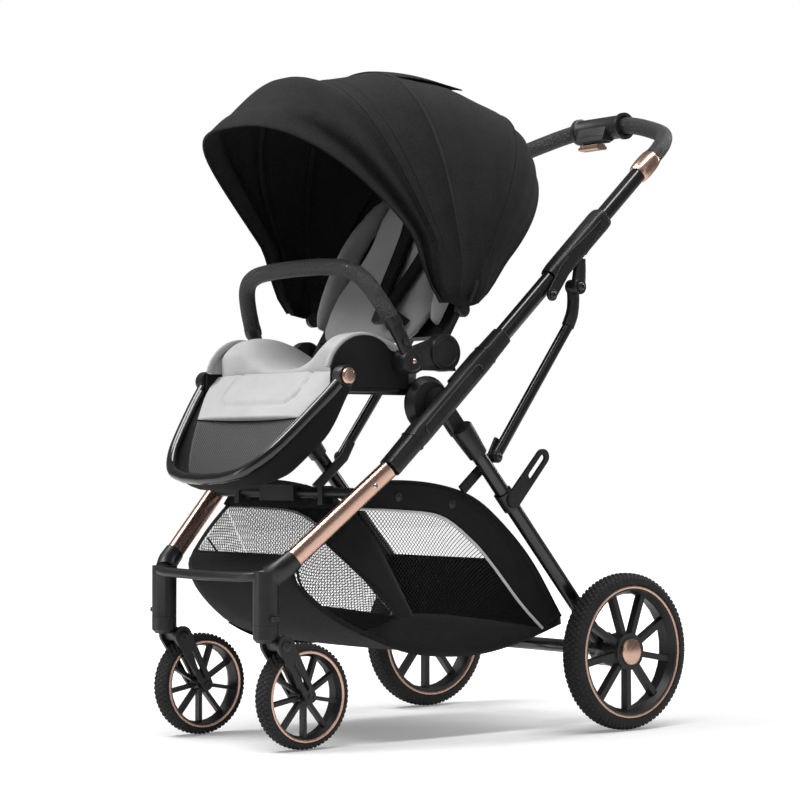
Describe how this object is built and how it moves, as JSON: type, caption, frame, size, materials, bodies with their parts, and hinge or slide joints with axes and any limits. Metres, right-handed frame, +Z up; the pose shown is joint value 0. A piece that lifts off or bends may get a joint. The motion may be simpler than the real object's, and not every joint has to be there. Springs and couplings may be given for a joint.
{
  "type": "baby stroller",
  "caption": "Folding baby stroller with a reclining seat unit, canopy, bumper bar, footrest, basket, telescopic handle, sprung swivel casters and larger rear wheels.",
  "frame": {"origin": "on the floor under the middle of the overall length and width", "axes": "+X to the stroller's left, -Y forward, +Z up"},
  "size_m": [0.5424, 0.8866, 1.07],
  "materials": {
    "rose_gold": "brushed rose gold anodised",
    "black_plastic": "satin moulded black",
    "black_metal": "gloss black enamel",
    "tyre_rubber": "matt rubber",
    "leather": "grained black",
    "black_fabric": "black melange weave",
    "grey_fabric": "light grey soft knit"
  },
  "bodies": {
    "chassis": {"front_tube_left": "rose_gold", "front_tube_right": "rose_gold", "hub_housing_left": "black_plastic", "hub_housing_right": "black_plastic", "push_tube_left": "black_metal", "push_tube_right": "black_metal", "seat_mount_left": "black_plastic", "seat_mount_right": "black_plastic", "front_bridge": "black_plastic", "fold_crossbar": "black_plastic", "basket": "black_fabric"},
    "rear_frame": {"rear_leg_left": "black_metal", "rear_leg_right": "black_metal", "rear_axle_bar": "black_metal", "fold_hook": "black_plastic"},
    "brake_pedal": {"brake_pedal": "black_plastic"},
    "handle": {"upper_connector_left": "black_plastic", "upper_connector_right": "black_plastic"},
    "stays": {"stay_left": "black_metal", "stay_right": "black_metal"},
    "push_bar": {"handle_tube_left": "black_metal", "handle_tube_right": "black_metal", "handle_cap_left": "rose_gold", "handle_cap_right": "rose_gold", "handle_grip": "leather", "handle_lock_housing": "black_plastic"},
    "handle_trigger": {"handle_trigger": "rose_gold"},
    "seat": {"seat_frame": "black_metal", "seat_pad": "grey_fabric", "side_guard_left": "black_fabric", "side_guard_right": "black_fabric", "seat_bracket_left": "black_plastic", "seat_bracket_right": "black_plastic"},
    "backrest": {"backrest_frame": "black_plastic", "backrest_pad": "grey_fabric", "harness": "black_fabric", "canopy_rear": "black_fabric"},
    "canopy_middle": {"canopy_middle": "black_fabric"},
    "canopy_front": {"canopy_front": "black_fabric"},
    "footrest": {"footrest_frame": "black_metal", "footrest_panel": "grey_fabric"},
    "bumper": {"bumper_bar": "leather"},
    "caster_left": {"swivel_head_left": "black_plastic"},
    "fork_left": {"front_fork_left": "black_plastic"},
    "front_wheel_left": {"front_tyre_left": "tyre_rubber", "front_rim_left": "black_plastic"},
    "rear_wheel_left": {"rear_tyre_left": "tyre_rubber", "rear_rim_left": "black_plastic", "rear_hub_cap_left": "rose_gold"},
    "swivel_lock_left": {"swivel_lock_left": "black_plastic"},
    "footrest_button_left": {"footrest_button_left": "rose_gold"},
    "caster_right": {"swivel_head_right": "black_plastic"},
    "fork_right": {"front_fork_right": "black_plastic"},
    "front_wheel_right": {"front_tyre_right": "tyre_rubber", "front_rim_right": "black_plastic"},
    "rear_wheel_right": {"rear_tyre_right": "tyre_rubber", "rear_rim_right": "black_plastic", "rear_hub_cap_right": "rose_gold"},
    "swivel_lock_right": {"swivel_lock_right": "black_plastic"},
    "footrest_button_right": {"footrest_button_right": "rose_gold"}
  },
  "joints": [
    {"name": "handle_fold", "type": "hinge", "parent": "chassis", "child": "handle", "pos_m": [0, 0.09173, 0.703], "axis": [-1, 0, 0], "range_deg": [0, 90]},
    {"name": "rear_leg_fold", "type": "hinge", "parent": "chassis", "child": "rear_frame", "pos_m": [0, -0.12227, 0.526], "axis": [-1, 0, 0], "range_deg": [0, 42.8]},
    {"name": "stay_fold", "type": "hinge", "parent": "handle", "child": "stays", "pos_m": [0, 0.15773, 0.72], "axis": [1, 0, 0], "range_deg": [0, 80.2]},
    {"name": "push_bar_slide", "type": "slide", "parent": "handle", "child": "push_bar", "axis": [0, 0.7373, 0.6756], "range_m": [-0.085, 0]},
    {"name": "handle_trigger_press", "type": "slide", "parent": "push_bar", "child": "handle_trigger", "axis": [0, 0, 1], "range_m": [0, 0.003], "stiffness_N_per_m": 600, "springref_m": -0.003},
    {"name": "brake_pedal_press", "type": "hinge", "parent": "rear_frame", "child": "brake_pedal", "pos_m": [0.135, 0.22443, 0.1272], "axis": [-1, 0, 0], "range_deg": [0, 18]},
    {"name": "seat_lift", "type": "slide", "parent": "chassis", "child": "seat", "axis": [0, 0, 1], "range_m": [0, 0.12]},
    {"name": "backrest_recline", "type": "hinge", "parent": "seat", "child": "backrest", "pos_m": [0, -0.10227, 0.606], "axis": [1, 0, 0], "range_deg": [-30, 0]},
    {"name": "canopy_fold", "type": "hinge", "parent": "backrest", "child": "canopy_middle", "pos_m": [0, -0.07427, 0.675], "axis": [-1, 0, 0], "range_deg": [0, 28]},
    {"name": "canopy_front_fold", "type": "hinge", "parent": "canopy_middle", "child": "canopy_front", "pos_m": [0, -0.07427, 0.675], "axis": [-1, 0, 0], "range_deg": [0, 35]},
    {"name": "footrest_tilt", "type": "hinge", "parent": "seat", "child": "footrest", "pos_m": [0, -0.30127, 0.565], "axis": [-1, 0, 0], "range_deg": [0, 40]},
    {"name": "bumper_swing", "type": "hinge", "parent": "seat", "child": "bumper", "pos_m": [0, -0.17627, 0.59], "axis": [1, 0, 0], "range_deg": [0, 20]},
    {"name": "caster_swivel_left", "type": "hinge", "parent": "chassis", "child": "caster_left", "pos_m": [0.136, -0.41327, 0.1905], "axis": [0, 0, 1], "continuous": true},
    {"name": "suspension_left", "type": "hinge", "parent": "caster_left", "child": "fork_left", "pos_m": [0.136, -0.39227, 0.16], "axis": [1, 0, 0], "range_deg": [0, 7], "stiffness_Nm_per_rad": 60, "springref_deg": -5.73},
    {"name": "front_wheel_spin_left", "type": "hinge", "parent": "fork_left", "child": "front_wheel_left", "pos_m": [0.136, -0.34527, 0.0809], "axis": [1, 0, 0], "continuous": true},
    {"name": "rear_wheel_spin_left", "type": "hinge", "parent": "rear_frame", "child": "rear_wheel_left", "pos_m": [0.251, 0.22443, 0.1272], "axis": [1, 0, 0], "continuous": true},
    {"name": "swivel_lock_left", "type": "slide", "parent": "chassis", "child": "swivel_lock_left", "axis": [0, 0, 1], "range_m": [0, 0.004]},
    {"name": "footrest_button_press_left", "type": "slide", "parent": "footrest", "child": "footrest_button_left", "axis": [-1, 0, 0], "range_m": [0, 0.0025], "stiffness_N_per_m": 800, "springref_m": -0.002},
    {"name": "caster_swivel_right", "type": "hinge", "parent": "chassis", "child": "caster_right", "pos_m": [-0.136, -0.41327, 0.1905], "axis": [0, 0, 1], "continuous": true},
    {"name": "suspension_right", "type": "hinge", "parent": "caster_right", "child": "fork_right", "pos_m": [-0.136, -0.39227, 0.16], "axis": [1, 0, 0], "range_deg": [0, 7], "stiffness_Nm_per_rad": 60, "springref_deg": -5.73},
    {"name": "front_wheel_spin_right", "type": "hinge", "parent": "fork_right", "child": "front_wheel_right", "pos_m": [-0.136, -0.34527, 0.0809], "axis": [1, 0, 0], "continuous": true},
    {"name": "rear_wheel_spin_right", "type": "hinge", "parent": "rear_frame", "child": "rear_wheel_right", "pos_m": [-0.251, 0.22443, 0.1272], "axis": [1, 0, 0], "continuous": true},
    {"name": "swivel_lock_right", "type": "slide", "parent": "chassis", "child": "swivel_lock_right", "axis": [0, 0, 1], "range_m": [0, 0.004]},
    {"name": "footrest_button_press_right", "type": "slide", "parent": "footrest", "child": "footrest_button_right", "axis": [1, 0, 0], "range_m": [0, 0.0025], "stiffness_N_per_m": 800, "springref_m": -0.002}
  ],
  "couplings": [
    {"joint": "rear_leg_fold", "follows": "handle_fold", "ratio": 0.475},
    {"joint": "stay_fold", "follows": "handle_fold", "ratio": 0.89},
    {"joint": "canopy_front_fold", "follows": "canopy_fold", "ratio": 1.25}
  ]
}
